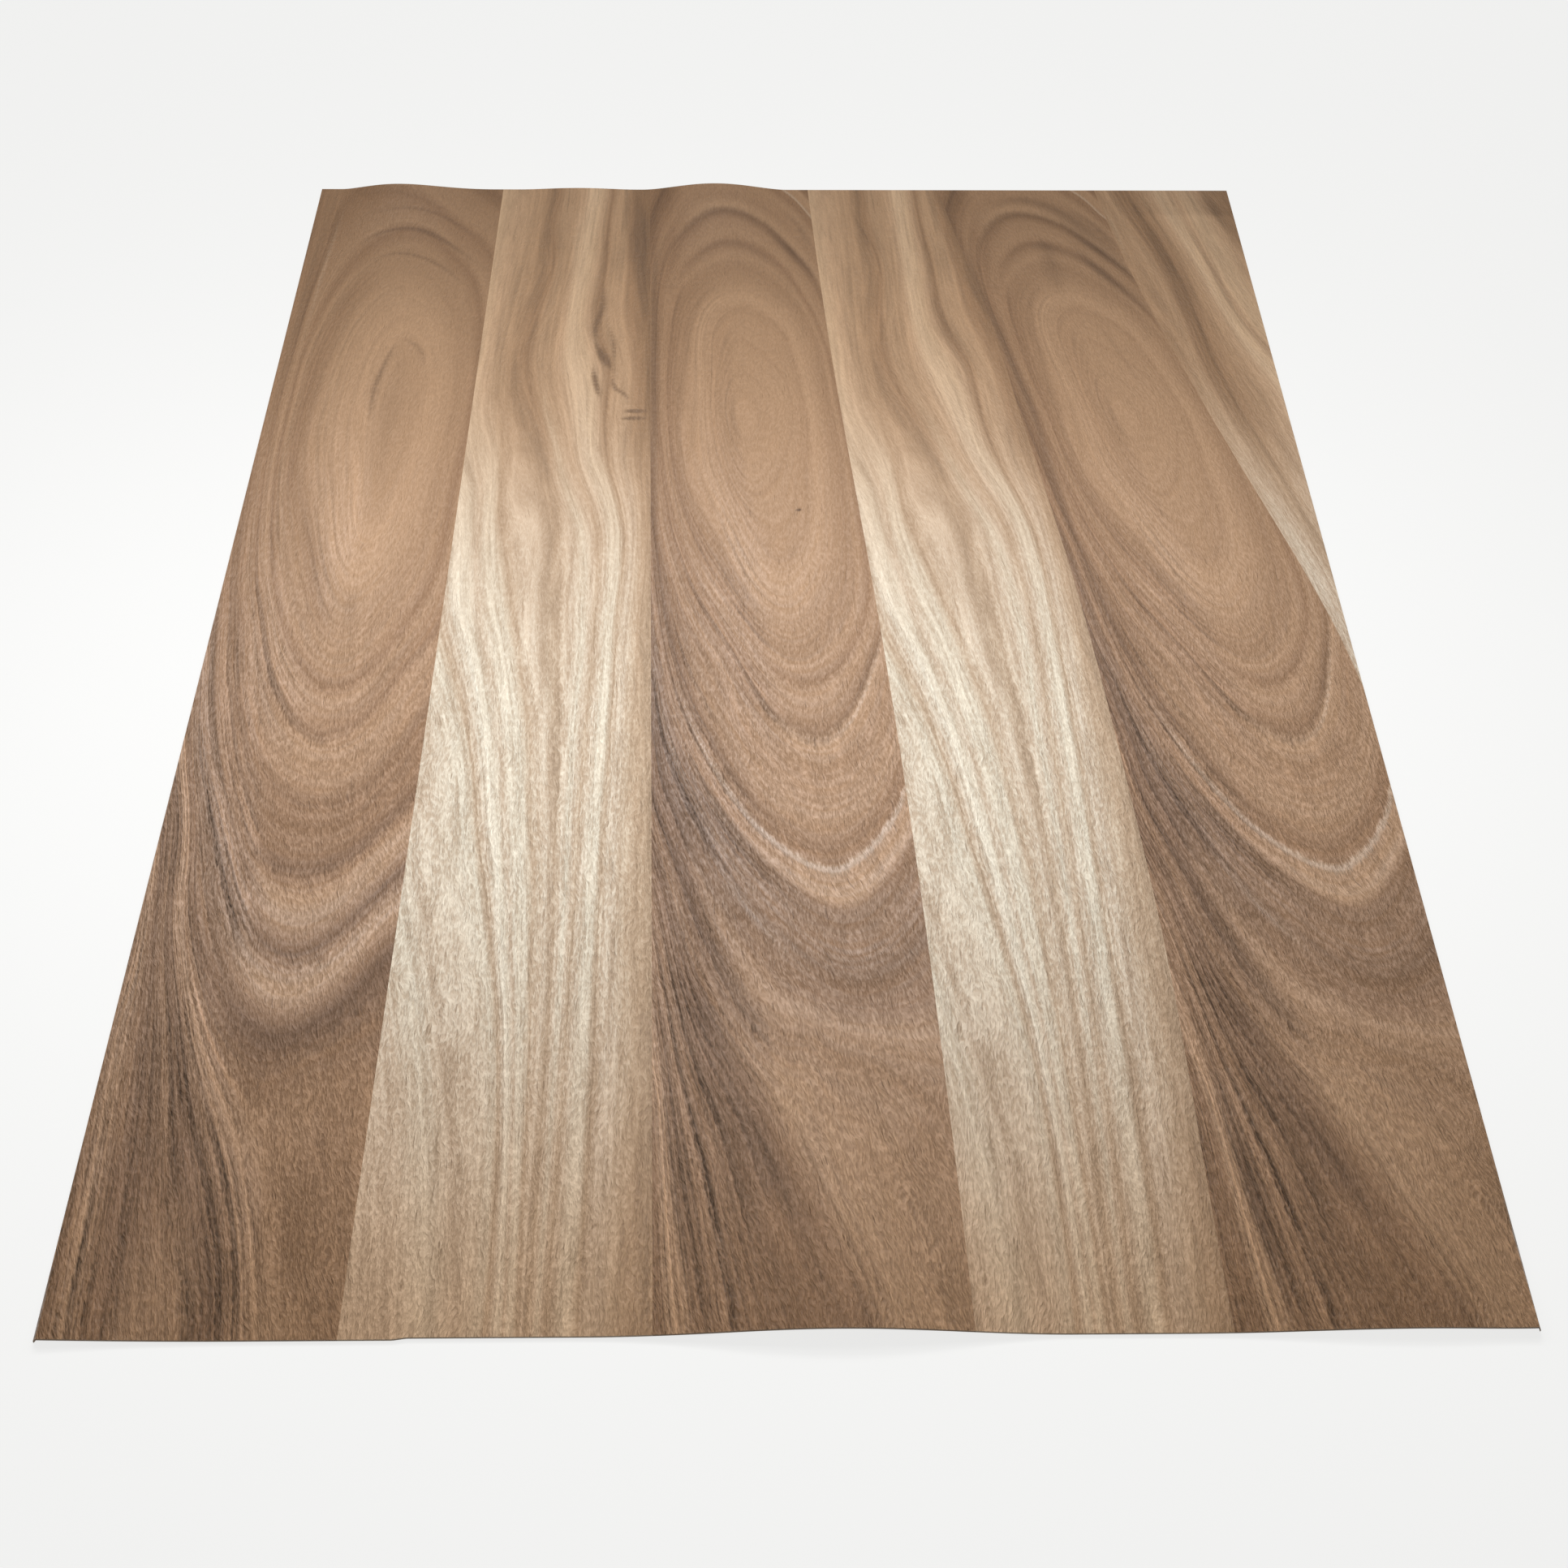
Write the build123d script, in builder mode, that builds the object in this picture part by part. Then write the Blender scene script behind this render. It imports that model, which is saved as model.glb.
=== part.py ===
import os
from math import comb

from build123d import *

# A sheet of thick-cut wood veneer, spliced edge to edge from six leaves and lying face up.
# Millimetres. The origin is on the ground below the middle of the sheet, +X across the leaves,
# +Y along the grain towards the back edge, +Z up. The sheet lies on z = 0, and only the waves
# of its front and back edges leave the ground.

# The sheet
sheet_width = 457.2
sheet_length = 609.6
veneer_thickness = 1.0

# Where the third seam stands on the two cut edges, to the right of the middle of the sheet
seam_3_back = 16.1
seam_3_front = 55.9

# The leaves' widths on the back edge. The outer ones, 1 and 6, were trimmed to the sheet's width.
leaf_2_back = 73.8
leaf_3_back = 79.7
leaf_4_back = 65.9
leaf_5_back = 79.2

# The leaves' widths on the front edge, where leaf 5 is the outer one: leaf 6 runs out at a point
# on the right edge, this far from the back.
leaf_2_front = 95.3
leaf_3_front = 97.8
leaf_4_front = 79.0
leaf_6_side = 343.0

# Three seams were cut freehand. Each bows away from a straight line by this much at most.
# Each pair is a point on it, from the back end: a share of its length, then a share of its bow,
# which is negative to the left.
seam_3_bow = 4.0
seam_3_shares = [
    (0.19, -0.08),
    (0.32, 0.24),
    (0.45, 0.72),
    (0.65, 1.0),
    (0.84, 0.68),
]
seam_4_bow = 14.3
seam_4_shares = [
    (0.05, 0.16),
    (0.20, 0.67),
    (0.28, 0.76),
    (0.45, 1.0),
    (0.62, 0.96),
    (0.80, 0.67),
    (0.92, 0.25),
]
seam_5_bow = 3.8
seam_5_shares = [
    (0.16, -0.83),
    (0.28, -1.0),
    (0.45, -0.78),
    (0.63, -0.25),
    (0.80, 0.42),
    (0.92, 0.44),
]

# The front edge was trimmed in two strokes, so right of this step the sheet is a hair shorter.
front_step_start = 108.0
front_step_run = 4.0
front_step_depth = 0.6

# Waves of the front edge, from the left. Each is highest on the edge and fades out over its
# reach towards the middle of the sheet. The first and last lift the two corners, and the
# others start this far left of the middle of the sheet.
front_left_crest = 1.9
front_left_width = 62.0
front_left_reach = 70.0

front_middle_crest = 5.3
front_middle_start = 63.6
front_middle_width = 150.0
front_middle_reach = 120.0

front_right_crest = 2.9
front_right_width = 112.0
front_right_reach = 95.0

# Waves of the back edge, from the left
back_left_crest = 3.1
back_left_start = 219.1
back_left_width = 78.0
back_left_reach = 60.0

back_low_crest = 0.9
back_low_start = 128.6
back_low_width = 58.0
back_low_reach = 50.0

back_middle_crest = 3.7
back_middle_start = 67.6
back_middle_width = 74.0
back_middle_reach = 80.0

# How each wave rises and falls along its edge: heights of evenly spaced control points, of
# which only the proportions count. Two noughts at an end make the wave run out level.
lifted_corner = (1, 0.4, 0, 0)
long_tailed = (0, 0, 0.15, 0.25, 1.0, 0.45, 0.25, 0, 0)
open_to_the_right = (0, 0, 0.12, 0.6, 1.25, 0.35, 0.62)
steep_on_the_left = (0, 0, 1.0, 0.35, 0.12, 0, 0)
even = (0, 0, 1.0, 0, 0)

# How each wave fades from its edge towards the middle of the sheet, in the same way
fade = (1, 0.8, 0.15, 0, 0)

# The knife passes this far beyond the sheet, and above and below it
overcut = 20.0

left_edge = -sheet_width / 2
right_edge = sheet_width / 2
front_edge = -sheet_length / 2
back_edge = sheet_length / 2


def bezier_height(profile, share):
    """Height of a Bezier curve with these control heights, at a share of its length."""
    degree = len(profile) - 1
    return sum(
        comb(degree, i) * share**i * (1 - share) ** (degree - i) * height
        for i, height in enumerate(profile)
    )


def wave(start, width, edge, reach, crest, profile):
    """Let a wave into an edge of the sheet, in place of the flat stretch that was there.

    Its underside is a Bezier surface over that stretch: the profile across, times the fade.
    """
    inward = 1 if edge < 0 else -1
    with BuildSketch() as flat_stretch:
        with Locations((start + width / 2, edge + inward * reach / 2)):
            Rectangle(width, reach)
    extrude(flat_stretch.sketch, amount=veneer_thickness, mode=Mode.SUBTRACT)
    samples = 100
    highest = max(bezier_height(profile, k / samples) for k in range(samples + 1))
    underside = Face.make_bezier_surface(
        [
            [
                (
                    start + width * i / (len(profile) - 1),
                    edge + inward * reach * j / (len(fade) - 1),
                    crest * across / highest * along,
                )
                for j, along in enumerate(fade)
            ]
            for i, across in enumerate(profile)
        ]
    )
    extrude(underside, amount=veneer_thickness, dir=(0, 0, 1))


# The spliced sheet as a whole
with BuildPart() as sheet:
    with BuildSketch():
        Rectangle(sheet_width, sheet_length)
    extrude(amount=veneer_thickness)
    wave(
        left_edge,
        front_left_width,
        front_edge,
        front_left_reach,
        front_left_crest,
        lifted_corner,
    )
    wave(
        -front_middle_start,
        front_middle_width,
        front_edge,
        front_middle_reach,
        front_middle_crest,
        long_tailed,
    )
    wave(
        right_edge - front_right_width,
        front_right_width,
        front_edge,
        front_right_reach,
        front_right_crest,
        open_to_the_right,
    )
    wave(
        -back_left_start,
        back_left_width,
        back_edge,
        back_left_reach,
        back_left_crest,
        steep_on_the_left,
    )
    wave(
        -back_low_start,
        back_low_width,
        back_edge,
        back_low_reach,
        back_low_crest,
        even,
    )
    wave(
        -back_middle_start,
        back_middle_width,
        back_edge,
        back_middle_reach,
        back_middle_crest,
        even,
    )

    # The trimmed stretch of the front edge
    step_left = left_edge + front_step_start
    step_right = step_left + front_step_run
    trimmed_edge = front_edge + front_step_depth
    with BuildSketch(Plane.XY.offset(-overcut)):
        with BuildLine():
            Polyline(
                (step_left, front_edge - overcut),
                (step_left, front_edge),
                (step_right, trimmed_edge),
                (right_edge + overcut, trimmed_edge),
                (right_edge + overcut, front_edge - overcut),
                close=True,
            )
        make_face()
    extrude(amount=2 * overcut, mode=Mode.SUBTRACT)

# Where the seams meet the edges of the sheet
seam_2_back = seam_3_back - leaf_3_back
seam_1_back = seam_2_back - leaf_2_back
seam_4_back = seam_3_back + leaf_4_back
seam_5_back = seam_4_back + leaf_5_back

seam_2_front = seam_3_front - leaf_3_front
seam_1_front = seam_2_front - leaf_2_front
seam_4_front = seam_3_front + leaf_4_front
seam_5_side = back_edge - leaf_6_side


def cut_line(start, end, bow=0.0, shares=()):
    """Points of a seam from its back end to its other end, bowed aside between them."""
    start_x, start_y = start
    end_x, end_y = end
    inner = [
        (start_x + (end_x - start_x) * along + bow * aside, start_y + (end_y - start_y) * along)
        for along, aside in shares
    ]
    return [start, *inner, end]


seams = [
    cut_line((seam_1_back, back_edge), (seam_1_front, front_edge)),
    cut_line((seam_2_back, back_edge), (seam_2_front, front_edge)),
    cut_line((seam_3_back, back_edge), (seam_3_front, front_edge), seam_3_bow, seam_3_shares),
    cut_line((seam_4_back, back_edge), (seam_4_front, front_edge), seam_4_bow, seam_4_shares),
    cut_line((seam_5_back, back_edge), (right_edge, seam_5_side), seam_5_bow, seam_5_shares),
]


def beyond(inner, end):
    """The point that the knife reaches when it runs on straight past the end of a seam."""
    direction = Vector(*end) - Vector(*inner)
    return Vector(*end) + direction.normalized() * overcut


def right_of(seam, mode):
    """Keep or cut away all that lies to the right of a seam, in the leaf being made."""
    knife_in = beyond(seam[1], seam[0])
    knife_out = beyond(seam[-2], seam[-1])
    clear = right_edge + overcut
    with BuildSketch(Plane.XY.offset(-overcut)) as region:
        with BuildLine():
            Line(knife_in, seam[0])
            if len(seam) > 2:
                Spline(*seam)
            else:
                Line(*seam)
            Polyline(seam[-1], knife_out, (clear, knife_out.Y), (clear, knife_in.Y), knife_in)
        make_face()
    extrude(region.sketch, amount=2 * overcut, mode=mode)


os.makedirs("parts", exist_ok=True)

# The six leaves, from the left, each meeting the next face to face along its seam
for number in range(1, len(seams) + 2):
    with BuildPart() as leaf:
        add(sheet.part)
        if number > 1:
            right_of(seams[number - 2], Mode.INTERSECT)
        if number <= len(seams):
            right_of(seams[number - 1], Mode.SUBTRACT)
    leaf.part.label = f"leaf_{number}"
    export_step(leaf.part, f"parts/leaf_{number}.step")
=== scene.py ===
from math import comb, radians

import bpy
import numpy as np
from mathutils import Matrix, Vector


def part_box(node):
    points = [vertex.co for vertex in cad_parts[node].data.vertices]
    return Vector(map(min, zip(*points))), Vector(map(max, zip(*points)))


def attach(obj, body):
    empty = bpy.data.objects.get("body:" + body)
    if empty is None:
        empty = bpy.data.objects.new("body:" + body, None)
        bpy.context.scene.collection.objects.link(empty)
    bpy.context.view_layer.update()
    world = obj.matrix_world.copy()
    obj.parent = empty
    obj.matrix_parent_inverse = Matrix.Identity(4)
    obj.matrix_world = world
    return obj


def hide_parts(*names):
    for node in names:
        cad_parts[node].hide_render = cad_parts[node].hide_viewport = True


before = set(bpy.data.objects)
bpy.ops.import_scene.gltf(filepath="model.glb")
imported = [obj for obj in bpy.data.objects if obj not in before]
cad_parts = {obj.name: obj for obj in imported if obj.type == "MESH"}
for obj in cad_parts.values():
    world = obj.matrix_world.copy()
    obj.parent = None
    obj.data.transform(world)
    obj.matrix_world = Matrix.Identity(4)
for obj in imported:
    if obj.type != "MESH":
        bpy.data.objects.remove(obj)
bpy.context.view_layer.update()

# The spliced sheet
#
# Six leaves of thick-cut veneer lie edge to edge. They were sliced one after another, jointed
# with a knife along the five seams, and glued along their edges. Trimming left the sheet's two
# end edges free to curl, so they rise from the ground in waves. Millimetres, seen from above.

sheet_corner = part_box("leaf_1")[0] * 1000
left_edge = sheet_corner.x
right_edge = -left_edge
front_edge = sheet_corner.y
back_edge = -front_edge
veneer_thickness = 1.0

# Where the third seam meets the back and the front edge
seam_3_back = 16.1
seam_3_front = 55.9

# The widths of the inner leaves on the back edge and on the front edge. Leaf 6 runs out at a
# point on the right edge, this far from the back.
leaf_2_back = 73.8
leaf_3_back = 79.7
leaf_4_back = 65.9
leaf_5_back = 79.2
leaf_2_front = 95.3
leaf_3_front = 97.8
leaf_4_front = 79.0
leaf_6_side = 343.0

seam_2_back = seam_3_back - leaf_3_back
seam_1_back = seam_2_back - leaf_2_back
seam_4_back = seam_3_back + leaf_4_back
seam_5_back = seam_4_back + leaf_5_back
seam_2_front = seam_3_front - leaf_3_front
seam_1_front = seam_2_front - leaf_2_front
seam_4_front = seam_3_front + leaf_4_front
seam_5_foot = back_edge - leaf_6_side

# The first two seams were cut along a rule and the others freehand. Each of those bows aside by
# this much at most. Its points are shares of its length from the back, and of its bow.
seam_3_bow = 4.0
seam_3_shares = [(0.19, -0.08), (0.32, 0.24), (0.45, 0.72), (0.65, 1.0), (0.84, 0.68)]
seam_4_bow = 14.3
seam_4_shares = [
    (0.05, 0.16),
    (0.20, 0.67),
    (0.28, 0.76),
    (0.45, 1.0),
    (0.62, 0.96),
    (0.80, 0.67),
    (0.92, 0.25),
]
seam_5_bow = 3.8
seam_5_shares = [
    (0.16, -0.83),
    (0.28, -1.0),
    (0.45, -0.78),
    (0.63, -0.25),
    (0.80, 0.42),
    (0.92, 0.44),
]


def bowed(start, end, bow, shares):
    """Points of a freehand seam: a straight line, plus a share of the bow to the right."""
    run = np.array(end) - np.array(start)
    inner = [
        (start[0] + run[0] * along + bow * aside, start[1] + run[1] * along)
        for along, aside in shares
    ]
    return [start, *inner, end]


seams = [
    [(seam_1_back, back_edge), (seam_1_front, front_edge)],
    [(seam_2_back, back_edge), (seam_2_front, front_edge)],
    bowed((seam_3_back, back_edge), (seam_3_front, front_edge), seam_3_bow, seam_3_shares),
    bowed((seam_4_back, back_edge), (seam_4_front, front_edge), seam_4_bow, seam_4_shares),
    bowed((seam_5_back, back_edge), (right_edge, seam_5_foot), seam_5_bow, seam_5_shares),
]

# The waves of the end edges: where each starts, its width, which edge, its reach inwards, its
# crest, and how it rises and falls along the edge.
wave_fade = (1, 0.8, 0.15, 0, 0)
waves = [
    (left_edge, 62.0, front_edge, 70.0, 1.9, (1, 0.4, 0, 0)),
    (-63.6, 150.0, front_edge, 120.0, 5.3, (0, 0, 0.15, 0.25, 1.0, 0.45, 0.25, 0, 0)),
    (right_edge - 112.0, 112.0, front_edge, 95.0, 2.9, (0, 0, 0.12, 0.6, 1.25, 0.35, 0.62)),
    (-219.1, 78.0, back_edge, 60.0, 3.1, (0, 0, 1.0, 0.35, 0.12, 0, 0)),
    (-128.6, 58.0, back_edge, 50.0, 0.9, (0, 0, 1.0, 0, 0)),
    (-67.6, 74.0, back_edge, 80.0, 3.7, (0, 0, 1.0, 0, 0)),
]

# Right of this step the front edge was trimmed a hair shorter
step_start = left_edge + 108.0
step_run = 4.0
step_depth = 0.6


def bezier(heights, share):
    """Bezier curve with evenly spaced control heights, at shares of its length.

    It is the sum of the heights, each times its binomial share.
    """
    degree = len(heights) - 1
    return sum(
        comb(degree, i) * share**i * (1 - share) ** (degree - i) * height
        for i, height in enumerate(heights)
    )


def lift(x, y):
    """Height of the underside: the sum of the waves, each its profile across times its fade."""
    height = np.zeros_like(x)
    for start, width, edge, reach, crest, profile in waves:
        across = (x - start) / width
        along = np.abs(y - edge) / reach
        inside = (across > 0) & (across < 1) & (along < 1)
        across = np.where(inside, across, 0)
        along = np.where(inside, along, 1)
        highest = bezier(profile, np.linspace(0, 1, 101)).max()
        height += inside * crest * bezier(profile, across) / highest * bezier(wave_fade, along)
    return height


def natural_spline(knots, values, at):
    """Cubic spline through the values with no bend at its two ends, worked out at many places.

    The bends at the inner knots solve the usual three-term equations.
    """
    gap = np.diff(knots)
    slope = np.diff(values) / gap
    bends = np.zeros(len(knots))
    if len(knots) > 2:
        system = np.diag(2 * (gap[:-1] + gap[1:]))
        system += np.diag(gap[1:-1], 1) + np.diag(gap[1:-1], -1)
        bends[1:-1] = np.linalg.solve(system, 6 * np.diff(slope))
    k = np.clip(np.searchsorted(knots, at) - 1, 0, len(gap) - 1)
    before = (at - knots[k]) / gap[k]
    after = 1 - before
    return (
        after * values[k]
        + before * values[k + 1]
        + gap[k] ** 2 / 6 * ((after**3 - after) * bends[k] + (before**3 - before) * bends[k + 1])
    )


def seam_at(seam, y):
    """Where a seam lies across the sheet, at each y. Past its foot it is the right edge."""
    knots = np.array(seam[::-1])
    across = natural_spline(knots[:, 1], knots[:, 0], np.maximum(y, knots[0, 1]))
    return np.minimum(across, right_edge)


# The size of a mesh's cells, how wide leaf 6 still is at its point, and how far in from the
# front edge the rows give way to the trimmed stretch
cell = 1.2
point_width = 0.02
trim_spread = 12.0


def leaf_grid(number):
    """Plan of a leaf: rows along it from the front, each shared out evenly between two seams."""
    foot = seam_5_foot if number == 6 else front_edge
    rows = int((back_edge - foot) / cell)
    along = np.linspace(foot, back_edge, rows)
    left = seam_at(seams[number - 2], along) if number > 1 else np.full(rows, left_edge)
    right = seam_at(seams[number - 1], along) if number < 6 else np.full(rows, right_edge)
    columns = int((right - left).max() / cell)
    share = np.linspace(0, 1, columns)
    x = left[:, None] + (right - left)[:, None] * share
    if number == 6:
        x[0] = right_edge - point_width * (1 - share)
    trimmed = step_depth * np.clip((x - step_start) / step_run, 0, 1)
    end = np.clip((along[:, None] - front_edge) / trim_spread, 0, 1)
    y = along[:, None] + trimmed * (1 - end)
    return x, y


# Faces that meet at more than this many degrees have a sharp edge between them
sharp_corner = 50.0


def leaf_shell(name, x, y, fields):
    """Closed shell of a leaf: its plan on the waves, and the same again one thickness up.

    The two grids are joined by a strip of faces along each of their four sides. The fields are
    worked out for the plan, and both faces carry them, because a figure runs through a veneer.
    """
    rows, columns = x.shape
    under = lift(x, y)
    low = np.stack([x, y, under], -1).reshape(-1, 3)
    high = np.stack([x, y, under + veneer_thickness], -1).reshape(-1, 3)
    index = np.arange(rows * columns).reshape(rows, columns)

    def strip(line):
        """Faces that join a line of the lower grid to the same line of the upper one."""
        a, b = line[:-1], line[1:]
        return np.stack([a, b, b + rows * columns, a + rows * columns], -1)

    quads = np.stack([index[:-1, :-1], index[:-1, 1:], index[1:, 1:], index[1:, :-1]], -1)
    quads = quads.reshape(-1, 4)
    sides = [index[0], index[:, -1], index[-1, ::-1], index[::-1, 0]]
    faces = np.concatenate([quads + rows * columns, quads[:, ::-1], *map(strip, sides)])
    mesh = bpy.data.meshes.new(name)
    mesh.vertices.add(2 * rows * columns)
    mesh.vertices.foreach_set("co", (np.concatenate([low, high]) / 1000).ravel())
    mesh.loops.add(faces.size)
    mesh.loops.foreach_set("vertex_index", faces.ravel())
    mesh.polygons.add(len(faces))
    mesh.polygons.foreach_set("loop_start", np.arange(0, faces.size, 4))
    is_side = np.arange(len(faces)) >= 2 * len(quads)
    mesh.polygons.foreach_set("use_smooth", ~is_side)
    mesh.polygons.foreach_set("material_index", is_side.astype(int))
    for field, values in fields.items():
        attribute = mesh.attributes.new(field, "FLOAT", "POINT")
        attribute.data.foreach_set("value", np.tile(values.ravel(), 2).astype(np.float32))
    mesh.update(calc_edges=True)
    mesh.set_sharp_from_angle(angle=radians(sharp_corner))
    piece = bpy.data.objects.new(name, mesh)
    bpy.context.scene.collection.objects.link(piece)
    return piece


def freehand(points, spacing=4.0):
    """A smooth line through a few points, as evenly spaced points: a natural spline along it."""
    points = np.array(points, float)
    run = np.concatenate([[0], np.cumsum(np.hypot(*np.diff(points, axis=0).T))])
    at = np.linspace(0, run[-1], max(int(run[-1] / spacing), 2) + 1)
    return np.stack([natural_spline(run, points[:, i], at) for i in (0, 1)], -1)


def figure(guides, x, y, slack=60.0):
    """The level of the growth rings at each place, from lines that each keep to one level.

    It is a thin plate bent over the lines: a sum of r squared times log r about their points,
    plus a tilted plane. Lengths along the leaf count a third, because the rings are that long.
    The slack lets the plate pass a little beside the lines, so that they needn't agree.
    """
    shrink = np.array([1, 1 / 3])
    lines = [freehand(points) * shrink for level, points in guides]
    levels = np.concatenate([[level] * len(line) for line, (level, _) in zip(lines, guides)])
    spots = np.concatenate(lines)

    def bend(at):
        square = ((at[:, None] - spots) ** 2).sum(-1)
        return 0.5 * square * np.log(square + 1e-9)

    def plane(at):
        return np.concatenate([np.ones((len(at), 1)), at], 1)

    system = np.block([[bend(spots), plane(spots)], [plane(spots).T, np.zeros((3, 3))]])
    system[np.arange(len(spots)), np.arange(len(spots))] += slack
    weights = np.linalg.solve(system, np.concatenate([levels, np.zeros(3)]))
    at = np.stack([x, y], -1).reshape(-1, 2) * shrink
    height = bend(at) @ weights[:-3] + plane(at) @ weights[-3:]
    return height.reshape(x.shape)


# A stroke's points lie this far apart. Its taper stops this share of its length from each end,
# and it never gets thinner than this share of its width.
stroke_spacing = 2.0
stroke_end = 0.04
stroke_thin = 0.35


def strokes(marks, x, y):
    """How deeply soft strokes stain each place.

    Across a stroke it is a bell: e to the minus square of the distance over the half width.
    Along it, a sine to the power of 0.6 makes it fainter and thinner to its ends.
    """
    stain = np.zeros_like(x)
    for depth, half_width, points in marks:
        line = freehand(points, stroke_spacing)
        near = np.full(x.shape, np.inf)
        where = np.zeros(x.shape)
        for k, (px, py) in enumerate(line):
            square = (x - px) ** 2 + (y - py) ** 2
            closer = square < near
            near[closer] = square[closer]
            where[closer] = k / (len(line) - 1)
        taper = np.sin(np.pi * np.clip(where, stroke_end, 1 - stroke_end)) ** 0.6
        reach = half_width * (stroke_thin + (1 - stroke_thin) * taper)
        stain += depth * taper * np.exp(-near / reach**2)
    return stain


class Value:
    """One value of a material. Arithmetic on it adds Math nodes to that material."""

    def __init__(self, finish, socket):
        self.finish = finish
        self.socket = socket

    def maths(self, operation, *values):
        """A Math node's result from these values."""
        return self.finish.node("ShaderNodeMath", {"operation": operation}, dict(enumerate(values)))

    def __add__(self, other):
        return self.maths("ADD", self, other)

    def __sub__(self, other):
        return self.maths("SUBTRACT", self, other)

    def __rsub__(self, other):
        return self.maths("SUBTRACT", other, self)

    def __mul__(self, other):
        return self.maths("MULTIPLY", self, other)

    def __truediv__(self, other):
        return self.maths("DIVIDE", self, other)

    __radd__ = __add__
    __rmul__ = __mul__

    def between(self, low, high):
        """0 below low, 1 above high, and a smooth rise between them."""
        return self.finish.node(
            "ShaderNodeMapRange",
            {"interpolation_type": "SMOOTHSTEP"},
            {"Value": self, "From Min": low, "From Max": high},
        )


class Finish:
    """The nodes of a material or of the world, and the one way of adding to them."""

    def __init__(self, owner):
        owner.use_nodes = True
        self.owner = owner
        self.tree = owner.node_tree
        self.tree.nodes.clear()

    def node(self, kind, settings=None, sockets=None, output=0):
        """Add a node: its settings first, then the values or links of its sockets."""
        made = self.tree.nodes.new(kind)
        for name, setting in (settings or {}).items():
            if name == "stops":
                stops = made.color_ramp.elements
                stops.remove(stops[1])
                for place, colour in setting:
                    stop = stops[0] if place == setting[0][0] else stops.new(place)
                    stop.position = place
                    stop.color = (*colour, 1)
            else:
                setattr(made, name, setting)
        for name, value in (sockets or {}).items():
            if isinstance(value, Value):
                self.tree.links.new(value.socket, made.inputs[name])
            else:
                made.inputs[name].default_value = value
        if not made.outputs:
            return None
        return Value(self, made.outputs[output])

    def attribute(self, name):
        """A field of the mesh, as leaf_shell puts it there."""
        return self.node("ShaderNodeAttribute", {"attribute_name": name}, output="Fac")

    def noise(self, vector, detail=2.0, roughness=0.5):
        """Fractal noise about a half, with a wave to about every unit of the vector."""
        return self.node(
            "ShaderNodeTexNoise",
            {},
            {"Vector": vector, "Scale": 1.0, "Detail": detail, "Roughness": roughness},
        )

    def streaks(self, across, along, seed, detail=2.0, roughness=0.5):
        """Noise about nought over a pair of lengths. Each seed gives another pattern."""
        place = self.node("ShaderNodeCombineXYZ", {}, {"X": across, "Y": along, "Z": seed})
        return self.noise(place, detail, roughness) - 0.5

    def grain(self, across, along, waves, seed, detail=2.0, roughness=0.5):
        """Streaks with so many waves to a millimetre, across a leaf and along it."""
        return self.streaks(across * waves[0], along * waves[1], seed, detail, roughness)

    def ramp(self, bands, level):
        """Colour of a level, from the colours of a few levels between which it changes evenly."""
        low, high = bands[0][0], bands[-1][0]
        stops = [((at - low) / (high - low), colour) for at, colour in bands]
        return self.node(
            "ShaderNodeValToRGB", {"stops": stops}, {"Fac": (level - low) / (high - low)}
        )

    def mix(self, share, first, second):
        """The first colour, with this share of the second."""
        return self.node(
            "ShaderNodeMix",
            {"data_type": "RGBA"},
            {"Factor": share, 6: first, 7: second},
            output=2,
        )

    def tone(self, colour, strength):
        """The colour made darker or lighter by one value."""
        return self.node(
            "ShaderNodeVectorMath", {"operation": "SCALE"}, {0: colour, "Scale": strength}
        )

    def paint_sheen(self, colour, silk, gain):
        """Painted sheen: the colour whitened and cooled by adding itself times the gain times the
        sheen, most in green and blue.
        """
        gain = self.tone(gain, silk)
        return self.node(
            "ShaderNodeVectorMath", {"operation": "MULTIPLY_ADD"}, {0: colour, 1: gain, 2: colour}
        )


# Waves to a millimetre of each grain, across a leaf and along it
sway_waves = (0.08, 0.04)
drift_waves = (0.02, 0.008)
broad_waves = (0.40, 0.035)
strand_waves = (1.15, 0.28)
hair_waves = (1.6, 0.45)
pore_waves = (1.6, 0.10)
flow_waves_along = 0.03

# How far the fibres sway aside, in millimetres, how much the fine rings waver along the leaf,
# and how closely the wide rings follow each other beside the fine ones
sway_reach = 7.0
ring_waver = 3.0
wide_ring_pace = 0.28

# The noise at which strands and flow are at their strongest, and how softly a pore ends
strand_peak = 0.10
flow_peak = 0.16
pore_softness = 0.06

# The strands' share of the fine grain, which they have with the hairs
strand_share = 0.6

# Brightness below which the painted sheen is weakest, and above which it is at full strength
painted_sheen_weakest_below = 0.30
painted_sheen_fullest_above = 0.52

# Height of the grain in metres, how deep pores lie in it, and how much smoother strands are
grain_height = 0.0003
pore_sink = 0.5
strand_gloss = 0.15


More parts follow.
